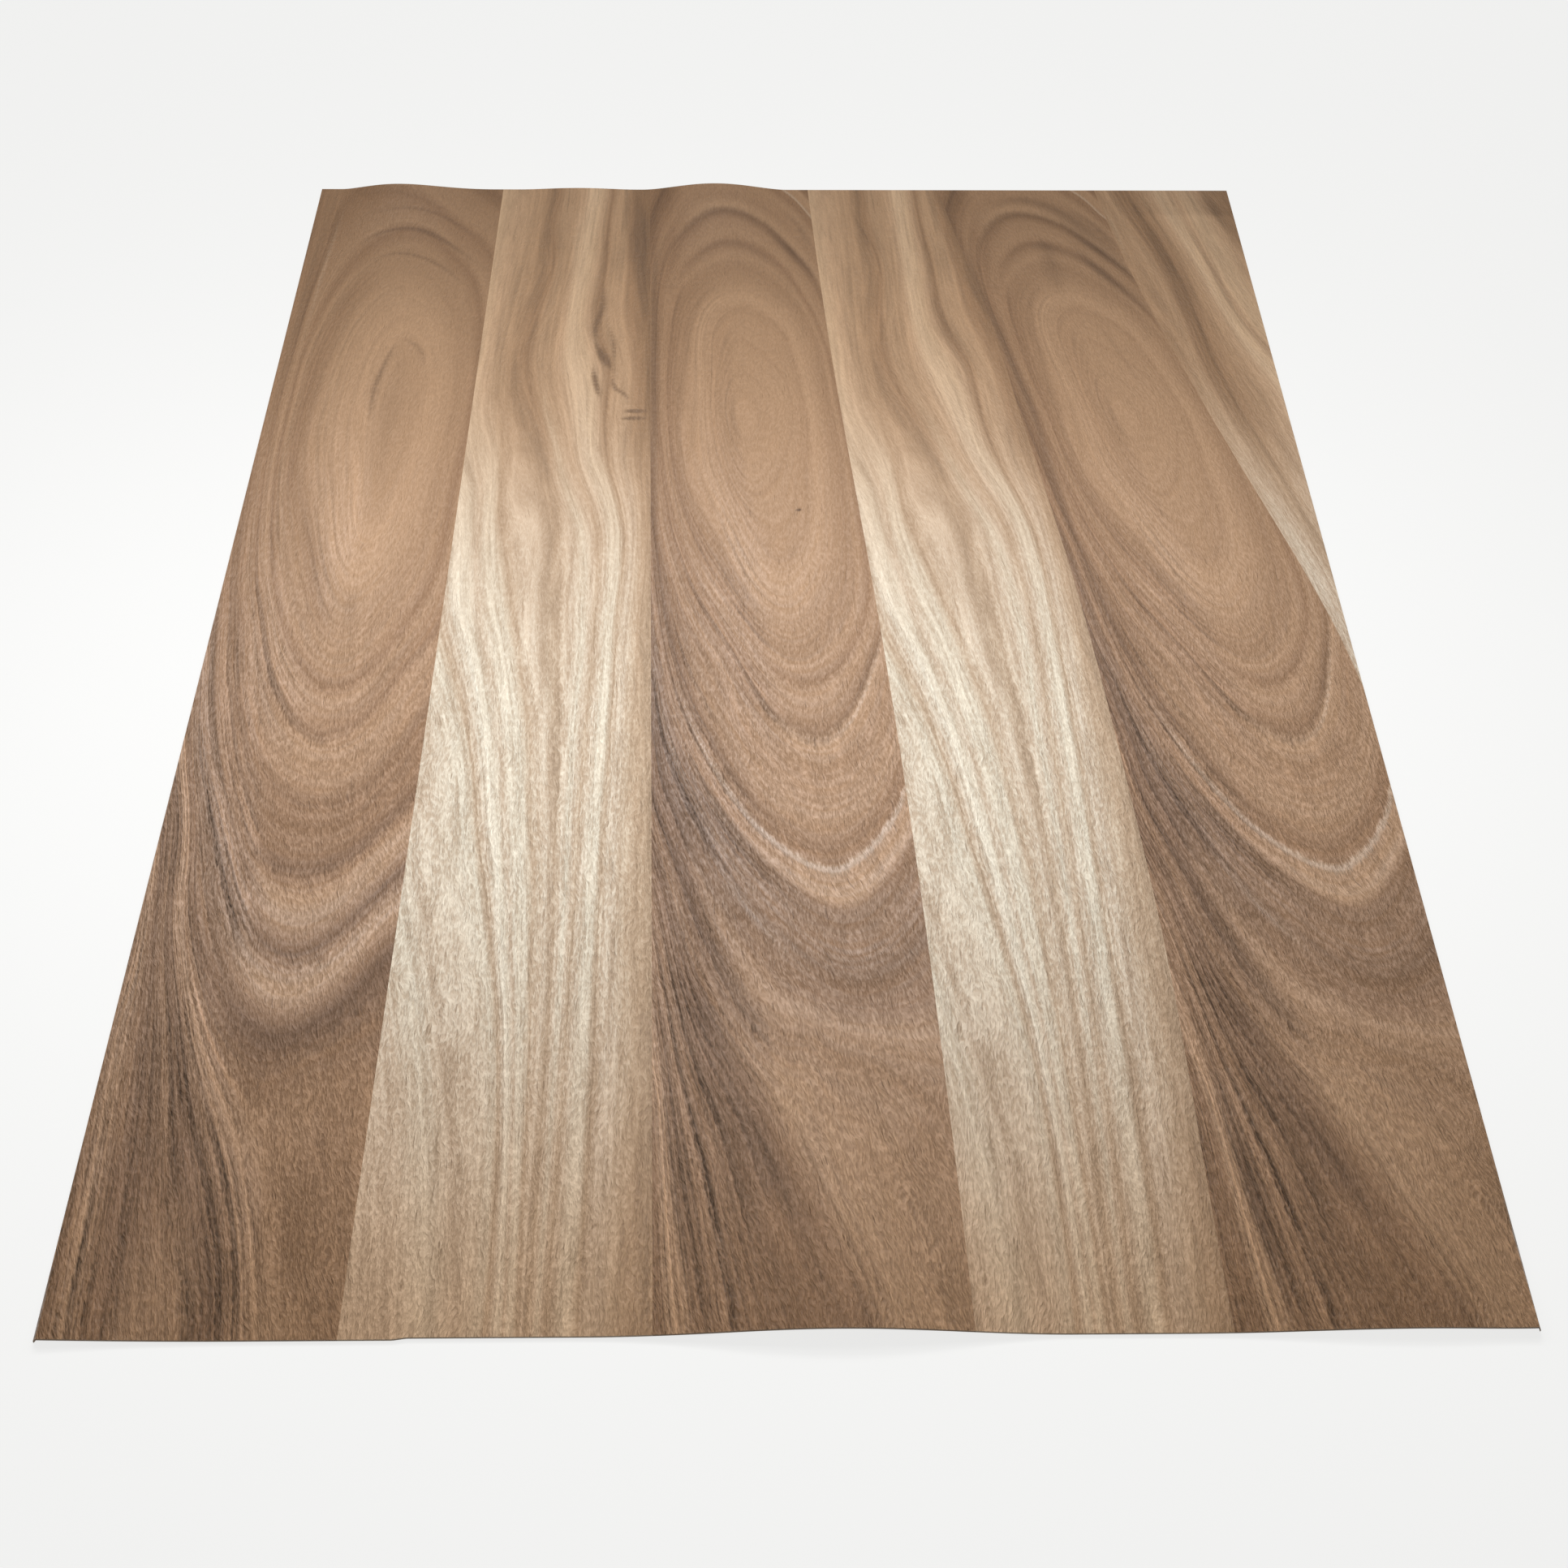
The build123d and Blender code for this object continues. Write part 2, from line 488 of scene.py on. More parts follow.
def veneer(name, cup_bands, arm_bands, hue, settings):
    """Finish of a figured leaf.

    Two ramps turn the level of the growth rings into colour: one where the rings lie open, one
    where they are packed side by side. Torn strands make the rings ragged. Fine rings, streaks
    that flow along them, strands and pores shade the colour. A painted sheen, a band of painted
    highlight, then whitens and cools it, most on the strands; where the wood is darker the painted
    sheen is weaker, so warm streaks stay warm in it.
    """
    finish = Finish(bpy.data.materials.new(name))
    level = finish.attribute("ring")
    packed = finish.attribute("packed")
    coarse = finish.attribute("coarse")
    lined = finish.attribute("lined")
    place = finish.node("ShaderNodeTexCoord", output="Object")
    along = finish.node("ShaderNodeSeparateXYZ", {}, {0: place}, output="Y") * 1000
    across = finish.attribute("across")
    across = across + finish.grain(across, along, sway_waves, seed=4.0) * sway_reach

    drift = finish.grain(across, along, drift_waves, seed=3.0)
    broad = finish.grain(across, along, broad_waves, seed=1.0, roughness=0.6)
    strands = finish.grain(across, along, strand_waves, seed=2.0, detail=1.0)
    hairs = finish.grain(across, along, hair_waves, seed=5.0, detail=1.0)
    fine_strands = strands.between(-strand_peak, strand_peak) * strand_share
    fine = fine_strands + hairs.between(-strand_peak, strand_peak) * (1 - strand_share) - 0.5
    pores = finish.grain(across, along, pore_waves, seed=8.0, detail=1.0)
    pores = pores.between(settings["pores"], settings["pores"] + pore_softness) * coarse

    ragged = level + (broad + strands) * settings["ragged"] * coarse + drift * settings["drift"]
    colour = finish.mix(packed, finish.ramp(cup_bands, ragged), finish.ramp(arm_bands, ragged))
    colour = finish.mix(finish.attribute("stain").between(0.0, 1.0), colour, (*hue["stain"], 1))
    colour = finish.mix(finish.attribute("bleach").between(0.0, 1.0), colour, (*hue["bleach"], 1))

    waver = drift * ring_waver
    pace = ragged * settings["rings"]
    rings = finish.streaks(pace, waver, seed=6.0, detail=3.0, roughness=0.6)
    wide_rings = finish.streaks(pace * wide_ring_pace, waver, seed=7.0, roughness=0.6)
    flow = finish.streaks(
        level * settings["flow"], along * flow_waves_along, seed=11.0, detail=3.0, roughness=0.65
    )
    flow = flow.between(-flow_peak, flow_peak) - 0.5
    shade = (rings + wide_rings) * settings["ring_depth"] + flow * settings["flow_depth"]
    grain = (broad * settings["broad_depth"] + fine * settings["fine_depth"]) * coarse
    colour = finish.tone(colour, shade * lined + grain + 1)
    colour = finish.mix(pores * settings["pore_depth"], colour, (*hue["pore"], 1))

    bright = finish.node("ShaderNodeRGBToBW", {}, {"Color": colour})
    bright = bright.between(painted_sheen_weakest_below, painted_sheen_fullest_above)
    # Painted sheen: a band of painted highlight that whitens and cools the colour, more on strands
    # and flow, less where the wood is darker
    silk = finish.attribute("silk") * (1 + (fine + flow) * settings["painted_sheen_glitter"])
    silk = silk * (1 - settings["painted_sheen_loss_on_dark"] * (1 - bright))
    colour = finish.paint_sheen(colour, silk, settings["painted_sheen_gain"])

    relief = (fine + broad) * coarse - pores * pore_sink
    bump = finish.node(
        "ShaderNodeBump",
        {},
        {"Strength": settings["bump"], "Distance": grain_height, "Height": relief},
    )
    surface = finish.node(
        "ShaderNodeBsdfPrincipled",
        {},
        {
            "Base Color": colour,
            "Roughness": settings["roughness"] - fine * strand_gloss,
            "Normal": bump,
            "Specular IOR Level": settings["specular"],
        },
    )
    finish.node("ShaderNodeOutputMaterial", {}, {"Surface": surface})
    return finish.owner


# Fibre ends to a metre on the cut ends and sides, across them and up through the thickness
fibre_ends_per_metre = (900, 900, 1600)


def cut_edge(name, colour):
    """Finish of the knife-cut ends and sides: bare pale wood with short fibre ends."""
    finish = Finish(bpy.data.materials.new(name))
    place = finish.node("ShaderNodeTexCoord", output="Object")
    fibre_ends = finish.node(
        "ShaderNodeMapping", {}, {"Vector": place, "Scale": fibre_ends_per_metre}
    )
    speckle = finish.noise(fibre_ends, roughness=0.6)
    surface = finish.node(
        "ShaderNodeBsdfPrincipled",
        {},
        {"Base Color": finish.tone(colour, 0.8 + speckle * 0.4), "Roughness": 0.75},
    )
    finish.node("ShaderNodeOutputMaterial", {}, {"Surface": surface})
    return finish.owner


def finish_leaf(number, kind, x, y, fields, face, edge):
    """Make a leaf's shell, give it its two finishes, and let it stand for the leaf's CAD node."""
    piece = leaf_shell(f"{kind}_leaf_{number}", x, y, fields)
    piece.data.materials.append(face)
    piece.data.materials.append(edge)
    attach(piece, "root")
    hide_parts(f"leaf_{number}")


# The dark figured leaves, 1, 3 and 5
#
# They were sliced one after another through the heart of a plank, so the rings show as nested
# ovals at the back that open into deep U shapes towards the front. Leaf 5 has the figure of
# leaf 3, slipped sideways as it was laid. The figure is given by lines that keep to one ring.

cathedral = [
    (-60, [(-20, 185), (-28, 150), (-27, 120), (-10, 75), (4, 110), (0, 160), (-20, 185)]),
    (
        -33,
        [(-15, 210), (-27, 200), (-31, 180), (-30, 150), (-27, 100), (-18, 68), (-8, 42), (0, 32)]
        + [(8, 42), (12, 80), (13, 120), (8, 160), (0, 195), (-15, 210)],
    ),
    (
        10,
        [(0, 218), (-23, 231), (-35, 222), (-42, 205), (-45, 180), (-47, 140), (-45, 100)]
        + [(-40, 72), (-32, 50), (-22, 28), (-12, 5), (6, -10), (18, 10), (24, 30), (25, 60)]
        + [(24, 100), (20, 140), (17, 175), (10, 200), (0, 218)],
    ),
    (
        38,
        [(25, 165), (18, 200), (10, 225), (0, 248), (-25, 262), (-38, 252), (-48, 235)]
        + [(-53, 200), (-53, 140), (-50, 105), (-46, 75), (-41, 52), (-34, 28), (-26, 10)]
        + [(-18, -6), (-10, -21), (0, -34), (9, -38), (20, -33), (28, -20), (33, -8), (36, 2)],
    ),
    (
        65,
        [(21, 222), (18, 235), (10, 250), (0, 268), (-10, 280), (-28, 287), (-40, 278)]
        + [(-50, 262), (-56, 230), (-56, 160), (-54, 115), (-50, 80), (-45, 50), (-38, 25)]
        + [(-30, 4), (-22, -14), (-14, -33), (-5, -50), (5, -62), (15, -65), (24, -58)]
        + [(31, -43), (36, -27), (39, -12)],
    ),
    (92, [(20, 250), (12, 270), (0, 290), (-15, 300), (-45, 303)]),
    (
        92,
        [(-56, 110), (-53, 70), (-48, 38), (-42, 10), (-35, -12), (-27, -32), (-18, -52)]
        + [(-8, -72), (5, -87), (16, -92), (28, -85), (37, -70), (43, -52)],
    ),
    (120, [(17, 275), (8, 294), (0, 303)]),
    (
        126,
        [(-55, 60), (-51, 20), (-47, -12), (-42, -36), (-36, -56), (-28, -75), (-20, -91)]
        + [(-10, -107), (0, -118), (8, -124), (16, -126), (27, -121), (36, -110), (43, -96)]
        + [(46, -85)],
    ),
    (140, [(-20, -101), (-10, -116), (0, -127), (10, -136), (20, -140), (32, -132), (47, -106)]),
    (
        176,
        [(-51, -30), (-48, -55), (-42, -78), (-34, -100), (-26, -118), (-18, -133), (-8, -148)]
        + [(2, -160), (12, -170), (24, -176), (36, -172), (46, -163), (50, -156)],
    ),
    (205, [(-49, -90), (-42, -112), (-34, -135), (-26, -156), (-18, -175), (-9, -190), (0, -201)]),
    (212, [(25, -218), (35, -240), (45, -270), (50, -300)]),
    (222, [(5, -215), (14, -240), (24, -270), (32, -300)]),
    (
        240,
        [(-48, -115), (-42, -140), (-36, -165), (-28, -188), (-18, -208), (-10, -222)]
        + [(-3, -238), (3, -252), (10, -270), (16, -285), (22, -300)],
    ),
    (
        290,
        [(-47, -150), (-42, -180), (-36, -210), (-29, -240), (-24, -265), (-20, -285), (-18, -300)],
    ),
    (330, [(-46, -180), (-42, -210), (-38, -240), (-34, -270), (-30, -300)]),
    (370, [(-44, -220), (-42, -250), (-40, -280), (-38, -300)]),
]

# Leaf 1's rings, which are like those of leaf 3 but not the same
first_cathedral = [
    (
        -52,
        [(-176, 183), (-182, 140), (-179, 90), (-173, 52), (-163, 90), (-161, 160), (-167, 178)]
        + [(-176, 183)],
    ),
    (
        12,
        [(-180, 243), (-191, 236), (-198, 225), (-207, 195), (-212, 140), (-211, 90), (-203, 55)]
        + [(-193, 20), (-185, -2), (-176, -12), (-168, -4), (-161, 15), (-154, 30), (-149, 60)]
        + [(-145, 120), (-145, 165), (-153, 210), (-161, 228), (-169, 238), (-180, 243)],
    ),
    (
        38,
        [(-139, 210), (-143, 225), (-149, 240), (-157, 250), (-167, 265), (-181, 270)]
        + [(-203, 250), (-213, 220), (-219, 180), (-220, 130), (-219, 90), (-216, 60)]
        + [(-212, 35), (-203, 0), (-195, -20), (-185, -34), (-175, -40), (-165, -34)]
        + [(-156, -18), (-149, 0), (-141, 30)],
    ),
    (62, [(-139, 248), (-145, 258), (-155, 270), (-169, 285), (-181, 295), (-205, 297)]),
    (62, [(-213, 300), (-220, 230), (-223, 160), (-223, 100), (-220, 60), (-216, 30), (-208, 0)]),
    (
        62,
        [(-208, 0), (-200, -28), (-190, -48), (-178, -60), (-166, -57), (-156, -42), (-147, -20)],
    ),
    (
        99,
        [(-222, 20), (-218, 0), (-215, -20), (-211, -40), (-206, -57), (-200, -75), (-190, -90)]
        + [(-180, -97), (-170, -99), (-160, -95), (-152, -85), (-145, -72), (-139, -57)],
    ),
    (
        127,
        [(-222, -20), (-214, -55), (-206, -85), (-198, -105), (-190, -120), (-174, -127)]
        + [(-160, -122), (-150, -110), (-139, -94)],
    ),
    (
        170,
        [(-223, -60), (-215, -85), (-207, -110), (-200, -130), (-192, -150), (-182, -165)]
        + [(-172, -170), (-160, -163), (-150, -150), (-139, -134)],
    ),
    (
        197,
        [(-224, -75), (-220, -90), (-214, -115), (-208, -140), (-200, -163), (-192, -180)]
        + [(-182, -192), (-172, -197), (-160, -192), (-150, -180), (-138, -161)],
    ),
    (
        218,
        [(-216, -130), (-208, -165), (-198, -190), (-187, -208), (-175, -218), (-165, -211)]
        + [(-153, -204), (-138, -199)],
    ),
    (228, [(-178, -235), (-172, -250), (-166, -275), (-160, -300)]),
    (220, [(-150, -225), (-146, -260), (-142, -300)]),
    (
        260,
        [(-213, -160), (-202, -200), (-192, -230), (-186, -245), (-181, -258), (-175, -278)]
        + [(-171, -300)],
    ),
    (330, [(-228, -100), (-221, -160), (-214, -220), (-208, -300)]),
    (370, [(-228, -190), (-225, -240), (-222, -300)]),
]

# The wood's tones from pale to dark, and the tone at each level of the rings: in the cups,
# where the rings lie open, and in the arms, where they are packed
pearl = (0.59, 0.41, 0.27)
fawn = (0.55, 0.335, 0.19)
honey = (0.51, 0.308, 0.173)
tan = (0.465, 0.277, 0.154)
hazel = (0.42, 0.246, 0.135)
russet = (0.37, 0.211, 0.114)
brown = (0.31, 0.175, 0.093)
umber = (0.25, 0.141, 0.077)
bark = (0.195, 0.11, 0.061)

cathedral_cup = [
    (-63, honey), (-60, tan), (-57, honey), (-34, tan), (-29, honey), (-22, fawn), (4, tan),
    (18, hazel), (27, tan), (35, russet), (41, tan), (52, hazel), (60, brown), (66, honey),
    (80, hazel), (104, tan), (116, russet), (124, russet), (127, pearl), (130, tan),
    (141, honey), (146, russet), (152, brown), (165, russet), (177, brown), (188, russet),
    (194, tan), (205, hazel), (217, tan), (229, honey), (240, russet), (250, brown),
]
cathedral_arm = [
    (-40, tan), (-12, fawn), (4, hazel), (20, russet), (32, hazel), (42, hazel), (52, russet),
    (70, russet), (82, hazel), (92, russet), (104, brown), (114, umber), (122, brown),
    (134, russet), (148, brown), (158, umber), (166, brown), (175, umber), (186, umber),
    (193, bark), (201, umber), (210, bark), (226, brown), (240, umber), (256, umber),
    (276, brown), (303, russet), (324, brown), (338, hazel), (350, hazel), (364, tan),
    (378, brown),
]

first_cup = [
    (-60, honey), (-48, fawn), (-24, fawn), (-6, honey), (10, tan), (24, tan), (36, russet),
    (44, tan), (62, russet), (72, tan), (88, hazel), (96, brown), (101, russet), (107, brown),
    (116, russet), (126, umber), (133, russet), (139, tan), (145, honey), (151, tan),
    (157, russet), (163, umber), (169, russet), (175, honey), (181, honey), (188, russet),
    (197, bark), (206, umber), (213, brown), (218, brown), (225, hazel), (240, tan),
]
first_arm = [
    (-40, fawn), (-8, honey), (12, russet), (24, tan), (34, russet), (44, tan), (54, hazel),
    (66, russet), (76, hazel), (96, russet), (106, brown), (122, russet), (140, brown),
    (156, russet), (172, russet), (182, brown), (194, brown), (204, umber), (216, brown),
    (222, russet), (236, hazel), (258, russet), (280, umber), (296, brown), (336, umber),
    (348, brown), (362, hazel), (378, brown),
]

# Soft stains and pale lines, each with its depth, half width and course. Leaves 3 and 5 share
# the first ones, which are placed on leaf 3.
cathedral_stains = [
    (0.55, 2.8, [(-61, 303), (-58, 200), (-55, 100), (-52, 10)]),
    (0.40, 3.0, [(-4, 268), (8, 251), (17, 234), (21, 222)]),
    (0.35, 2.5, [(0, 291), (9, 277), (15, 262), (20, 248)]),
    (0.55, 6.0, [(-24, -205), (-12, -236), (-2, -256), (8, -280)]),
    (0.35, 6.0, [(-36, -170), (-27, -192), (-17, -214)]),
    (0.50, 0.8, [(20, -202), (30, -207), (40, -212), (51, -217)]),
    (0.50, 2.0, [(-41, -200), (-38, -235), (-34, -265), (-30, -303)]),
    (0.40, 2.0, [(26, -50), (31, -37), (35, -22), (38, -8)]),
    (0.45, 2.5, [(-53, 40), (-49, 5), (-45, -25), (-40, -48)]),
    (0.35, 4.0, [(-54, 235), (-47, 262), (-30, 283), (-10, 277), (4, 257), (16, 230)]),
    (0.30, 3.5, [(-46, 225), (-38, 248), (-25, 258), (-8, 250), (8, 225)]),
]
cathedral_bleaches = [
    (0.65, 1.0, [(4, -63), (15, -66), (24, -59), (31, -44), (36, -28), (40, -10)]),
    (
        0.75,
        1.2,
        [(-42, -34), (-30, -70), (-20, -91), (-10, -107), (0, -118), (10, -125), (22, -125)],
    ),
    (0.30, 2.5, [(-8, -114), (2, -128), (12, -136), (22, -138), (32, -131), (46, -106)]),
    (0.40, 1.5, [(-30, -112), (-18, -136), (-8, -152), (2, -165), (10, -176)]),
    (0.35, 0.8, [(-48, -45), (-42, -70), (-34, -95)]),
]

# Those that a leaf has to itself
own_stains = {
    1: [
        (0.24, 8.0, [(-171, 182), (-175, 130), (-177, 65)]),
        (0.60, 2.0, [(-207, 253), (-196, 265), (-180, 270), (-160, 258), (-141, 236)]),
        (0.50, 1.6, [(-200, 242), (-185, 250), (-165, 242), (-147, 221)]),
        (0.45, 1.6, [(-206, 279), (-181, 286), (-156, 273), (-139, 254)]),
        (0.50, 0.6, [(-169, 57), (-163, 61)]),
        (0.40, 0.6, [(-146, 97), (-143, 101)]),
        (0.55, 1.7, [(-176, 184), (-180, 165), (-183, 140), (-182, 125)]),
        (0.40, 1.7, [(-176, 184), (-167, 178), (-162, 160)]),
        (0.30, 5.0, [(-175, 22), (-175, 8), (-175, -6)]),
        (0.35, 3.0, [(-147, -6), (-152, -20), (-158, -32), (-161, -52)]),
        (0.20, 7.0, [(-190, -222), (-184, -250), (-176, -295)]),
        (0.35, 3.0, [(-222, 300), (-224, 200), (-226, 100)]),
    ],
    3: [(1.6, 1.1, [(8, 67), (8, 65)])],
    5: [
        (0.45, 0.6, [(178, 66), (182, 70)]),
        (0.40, 0.6, [(162, 86), (166, 90)]),
        (0.45, 5.0, [(104, 284), (120, 296), (134, 292), (152, 272), (164, 252), (170, 239)]),
        (0.50, 4.0, [(144, 262), (152, 245), (162, 228), (171, 213), (181, 192)]),
        (0.35, 6.0, [(131, 266), (133, 245), (135, 215)]),
        (0.30, 1.5, [(138, 207), (148, 197), (156, 180), (162, 160), (168, 140)]),
        (0.30, 6.0, [(160, -240), (166, -262), (172, -300)]),
        (0.30, 5.0, [(146, -235), (150, -265), (154, -303)]),
    ],
}
own_bleaches = {
    1: [(0.5, 1.2, [(-214, 300), (-218, 240), (-220, 170)])],
    3: [],
    5: [(0.6, 1.0, [(173, 224), (178, 208), (182, 192)])],
}

# What the finish mixes in, and how strong each part of it is
dark_hue = {"stain": (0.17, 0.098, 0.056), "bleach": pearl, "pore": (0.12, 0.068, 0.038)}
dark_settings = {
    "ragged": 4.5,
    "drift": 6.0,
    "rings": 0.30,
    "ring_depth": 1.35,
    "flow": 0.30,
    "flow_depth": 0.26,
    "broad_depth": 0.42,
    "fine_depth": 0.38,
    "pores": 0.18,
    "pore_depth": 0.5,
    # How the painted sheen follows the grain and the wood's brightness, and the colour it adds
    "painted_sheen_glitter": 0.7,
    "painted_sheen_loss_on_dark": 0.0,
    "painted_sheen_gain": (0.12, 0.42, 1.05),
    "bump": 0.8,
    "roughness": 0.42,
    "specular": 0.2,
}


def packing(ring, x):
    """How closely the rings are packed to the right of each place, where they fall that way.

    It rises from 0 to 1 as they fall from 0.9 to 2.3 levels to the millimetre.
    """
    steepness = -np.gradient(ring, axis=1) / np.gradient(x, axis=1)
    return np.clip((steepness - 0.9) / 1.4, 0, 1)


def painted_sheen_share(ring, x):
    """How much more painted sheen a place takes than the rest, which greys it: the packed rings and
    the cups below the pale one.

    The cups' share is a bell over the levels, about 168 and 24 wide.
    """
    return 0.6 * packing(ring, x) + np.exp(-(((ring - 168) / 24) ** 2))


def fading(at, middle, run):
    """Falls from 1 to 0 about the middle, over about four runs: one over one plus e to the
    distance from the middle over the run. A negative run makes it rise instead."""
    return 1 / (1 + np.exp((at - middle) / run))


def coarseness(y):
    """How rough the cut is: smooth at the back, and torn up a little towards the front."""
    return 0.35 + 0.65 * fading(y, -10, 35)


def clearness(ring, x, y):
    """How clearly the fine rings show: most where they are packed, and less in the back half."""
    return (0.35 + packing(ring, x)) * (0.3 + 0.7 * fading(y, 0, 35))


def painted_sheen_band(y, most):
    """How strong the painted sheen is, a band of painted highlight: most two hands' breadths from
    the front edge.

    It is a flat-topped bell, e to the minus cube of the distance, and falls off slower behind.
    """
    return most * np.exp(-((np.abs(y + 100) / np.where(y < -100, 158, 190)) ** 3))


def leaning(y):
    """How far the fibres lean to the right: not at all at the back, and 0.22 of the way that a
    place lies in front of y = -60, with a soft bend of 25 between the two."""
    return 0.22 * np.logaddexp(0, (-60 - y) / 25) * 25


dark_edge = cut_edge("dark_leaf_edge", (0.36, 0.25, 0.17))
dark_face = veneer("dark_leaf_face", cathedral_cup, cathedral_arm, dark_hue, dark_settings)
first_face = veneer("first_leaf_face", first_cup, first_arm, dark_hue, dark_settings)

# Leaf 5's figure lies this far to the right of leaf 3's, at each distance from the middle
slip_5_rows = [-300, -60, 33, 130, 285]
slip_5 = [183, 183, 178, 170, 146]

# How strong the painted sheen is on each leaf, where it is strongest
painted_sheen_of_leaf = {1: 0.22, 3: 0.28, 5: 0.17}

for number in (1, 3, 5):
    x, y = leaf_grid(number)
    own_x = x - np.interp(y, slip_5_rows, slip_5) if number == 5 else x
    ring = figure(first_cathedral if number == 1 else cathedral, own_x, y)
    fields = {
        "ring": ring,
        "across": own_x - leaning(y),
        "packed": packing(ring, x),
        "coarse": coarseness(y),
        "lined": clearness(ring, x, y),
        # painted sheen: a band of painted highlight, stronger on the packed rings and the greyer
        # cups
        "silk": painted_sheen_band(y, painted_sheen_of_leaf[number]) * (1 + painted_sheen_share(ring, x)),
        "stain": strokes(own_stains[number], x, y),
        "bleach": strokes(own_bleaches[number], x, y),
    }
    if number > 1:
        fields["stain"] += strokes(cathedral_stains, own_x, y)
        fields["bleach"] += strokes(cathedral_bleaches, own_x, y)
    face = first_face if number == 1 else dark_face
    finish_leaf(number, "dark", x, y, fields, face, dark_edge)


# The pale streaky leaves, 2, 4 and 6
#
# They come from nearer the bark, so their rings run along them as wavy streaks. Leaf 2 has the
# figure of leaf 4, slipped sideways, and leaf 6 is the narrow rest of one that runs out at a
# point on the right edge.

streaky = [
    (-22, [(52, -215), (56, -260), (60, -300)]),
    (-12, [(50, -165), (57, -200), (64, -240), (70, -300)]),
    (-4, [(48, -110), (55, -150), (64, -190), (72, -230), (77, -265), (80, -300)]),
    (
        10,
        [(43, -10), (48, -25), (55, -45), (60, -65), (65, -90), (69, -115), (74, -140)]
        + [(78, -165), (82, -190), (85, -220), (88, -300)],
    ),
    (
        26,
        [(31, 110), (36, 95), (41, 75), (44, 50), (48, 20), (54, -5), (62, -35), (69, -70)]
        + [(75, -105), (80, -145), (85, -190), (89, -240), (92, -300)],
    ),
    (
        32,
        [(20, 300), (24, 250), (28, 200), (31, 160), (33, 135), (40, 110), (46, 90), (48, 60)]
        + [(52, 35), (58, 10), (65, -18), (72, -50), (78, -85), (83, -125), (87, -170)]
        + [(91, -220), (94, -300)],
    ),
    (
        40,
        [(33, 300), (35, 250), (37, 200), (40, 150), (45, 122), (50, 95), (52, 70), (56, 50)]
        + [(61, 28), (67, 5), (72, -18), (77, -40), (81, -65), (85, -95), (89, -130)]
        + [(91, -170), (93, -220), (96, -300)],
    ),
    (
        50,
        [(42, 300), (44, 262), (48, 245), (47, 210), (46, 180), (48, 160), (52, 146), (57, 133)]
        + [(63, 118), (67, 105), (71, 90), (75, 75), (79, 62), (82, 48), (85, 25), (88, 0)]
        + [(91, -30), (94, -70), (97, -110), (99, -150), (100, -200), (101, -300)],
    ),
    (
        64,
        [(52, 300), (55, 270), (57, 240), (58, 210), (60, 180), (64, 150), (70, 130), (75, 110)]
        + [(80, 92), (86, 75), (92, 58), (96, 40), (98, 20), (100, 0), (101, -50)]
        + [(102, -100), (103, -160), (104, -300)],
    ),
    (
        80,
        [(64, 300), (65, 270), (67, 230), (68, 200), (72, 180), (78, 160), (82, 140), (85, 120)]
        + [(88, 100), (93, 85), (98, 70), (102, 50), (104, 30), (106, 0), (108, -50)]
        + [(109, -100), (110, -200), (110, -300)],
    ),
    (
        90,
        [(71, 300), (73, 270), (76, 240), (77, 210), (79, 195), (83, 180), (88, 168), (90, 150)]
        + [(92, 125), (95, 105), (99, 88), (104, 70), (108, 50), (110, 25), (111, 0)]
        + [(113, -60), (114, -130), (115, -200), (116, -300)],
    ),
    (
        98,
        [(78, 300), (81, 270), (84, 240), (86, 215), (88, 198), (92, 182), (96, 168), (99, 145)]
        + [(102, 120), (104, 100), (108, 80), (111, 60), (113, 35), (115, 0), (117, -60)]
        + [(119, -130), (121, -200), (122, -300)],
    ),
    (
        105,
        [(84, 300), (87, 265), (92, 235), (97, 205), (101, 185), (104, 160), (107, 130)]
        + [(110, 100), (114, 70), (117, 40), (119, 0), (123, -60), (127, -130), (129, -200)]
        + [(130, -300)],
    ),
]

# Leaf 6's rings
last_streaky = [
    (0, [(162, 300), (170, 240), (182, 190), (192, 135), (210, 60), (228, -38)]),
    (10, [(173, 300), (178, 280), (187, 245), (193, 205), (197, 165), (204, 125), (216, 70)]),
    (20, [(181, 295), (190, 262), (197, 225), (201, 190), (207, 150), (216, 110), (228, 60)]),
    (34, [(190, 300), (201, 250), (207, 220), (214, 185), (226, 150)]),
    (48, [(201, 300), (208, 255), (216, 210), (226, 175)]),
    (64, [(213, 300), (221, 270), (229, 235)]),
]

# Tones from pale to dark, and the tone at each level: along the leaf, and at its back
ivory = (0.76, 0.515, 0.315)
cream = (0.69, 0.46, 0.275)
straw = (0.62, 0.393, 0.23)
sand = (0.55, 0.34, 0.192)
biscuit = (0.48, 0.288, 0.158)
toast = (0.41, 0.238, 0.127)
chestnut = (0.34, 0.194, 0.1)

streaky_bands = [
    (-24, straw), (-14, cream), (-6, straw), (4, cream), (9, sand), (13, straw), (20, ivory),
    (24, cream), (28, straw), (32, cream), (36, cream), (40, sand), (44, straw), (48, sand),
    (53, straw), (58, cream), (63, straw), (68, sand), (73, straw), (80, cream), (85, cream),
    (89, sand), (93, straw), (97, straw), (101, sand), (105, biscuit), (110, biscuit),
]
streaky_back_bands = [
    (20, straw), (28, cream), (34, straw), (40, sand), (46, biscuit), (52, toast), (57, sand),
    (64, sand), (69, straw), (74, ivory), (77, ivory), (81, cream), (85, straw), (89, toast),
    (92, sand), (97, sand), (101, toast), (106, chestnut),
]
last_bands = [
    (0, straw), (9, straw), (13, sand), (17, sand), (23, straw), (29, straw), (35, cream),
    (44, ivory), (49, straw), (54, cream), (59, cream), (64, straw), (68, biscuit), (74, toast),
]
last_back_bands = [
    (0, biscuit), (5, sand), (9, toast), (15, chestnut), (19, toast), (24, biscuit), (28, sand),
    (33, straw), (38, ivory), (44, cream), (49, straw), (54, cream), (59, cream), (64, straw),
    (68, biscuit), (74, toast),
]

